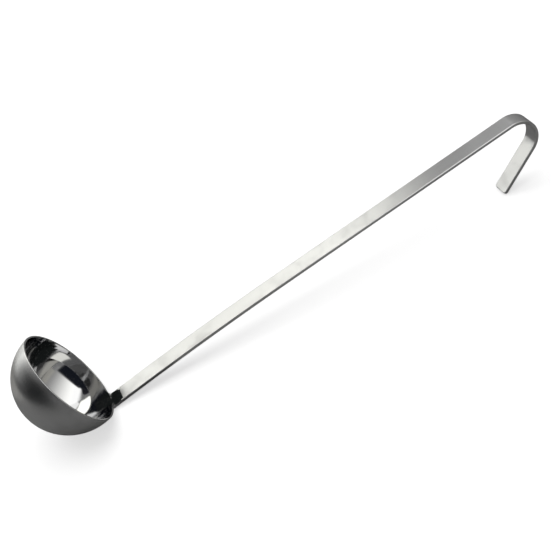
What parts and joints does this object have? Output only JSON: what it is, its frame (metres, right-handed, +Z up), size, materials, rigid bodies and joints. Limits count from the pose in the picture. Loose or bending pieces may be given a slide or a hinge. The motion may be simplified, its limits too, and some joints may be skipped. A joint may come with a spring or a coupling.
{
  "type": "ladle",
  "caption": "One-piece steel soup ladle with a deep round bowl and a flat strip handle that bends over into a hanging hook.",
  "frame": {"origin": "middle of the bounding box at the surface that the ladle lies on", "axes": "+X runs from the bowl to the hook, +Y is square to the plane of symmetry, +Z is up as the ladle lies on its back"},
  "size_m": [0.4707, 0.09, 0.0885],
  "materials": {
    "ladle": "satin outside and on the handle, polished inside the bowl"
  },
  "bodies": {
    "root": {"ladle": "ladle"}
  },
  "joints": []
}
